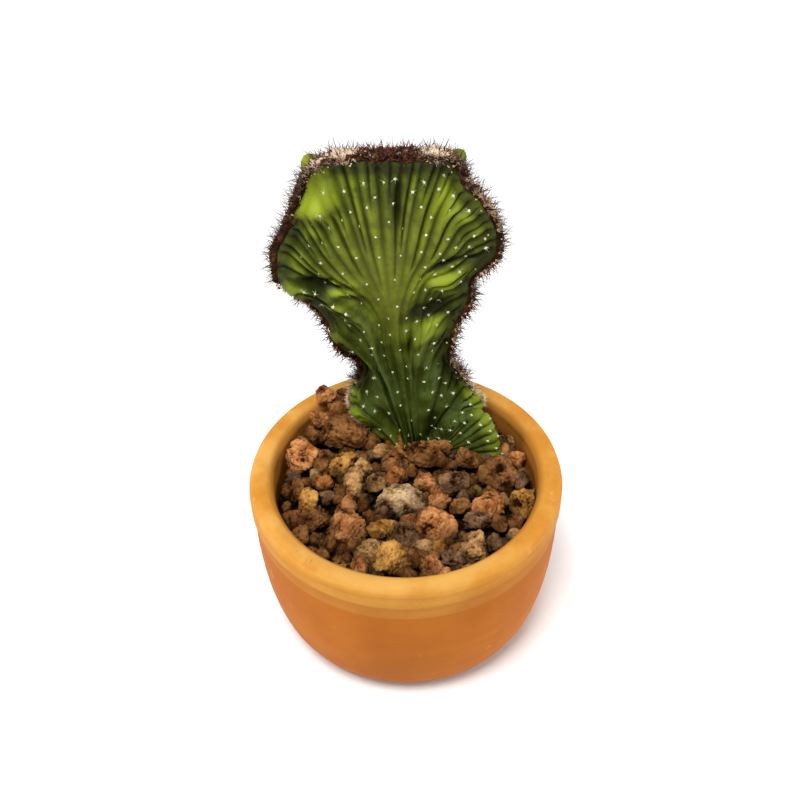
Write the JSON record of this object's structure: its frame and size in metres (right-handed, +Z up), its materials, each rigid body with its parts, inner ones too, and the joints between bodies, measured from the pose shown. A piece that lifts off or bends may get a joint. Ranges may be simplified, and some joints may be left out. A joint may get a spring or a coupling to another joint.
{
  "type": "potted crested cactus",
  "caption": "Fan-shaped crested columnar cactus with a brown woolly margin, standing in a round terracotta bowl bedded with lava gravel.",
  "frame": {"origin": "middle of the pot's foot, on the surface that the pot stands on", "axes": "+Z up out of the pot, +X to the right along the crest's width, -Y towards the broad face of the crest that the picture shows"},
  "size_m": [0.12, 0.12, 0.1963],
  "materials": {
    "terracotta": "matte",
    "soil": "matte",
    "lava_gravel": "matte",
    "cactus_skin": "satin",
    "cactus_wool": "matte"
  },
  "bodies": {
    "root": {"pot": "terracotta", "soil": "soil", "gravel": "lava_gravel", "cactus": "cactus_skin", "wool_and_spines": "cactus_wool"}
  },
  "joints": []
}
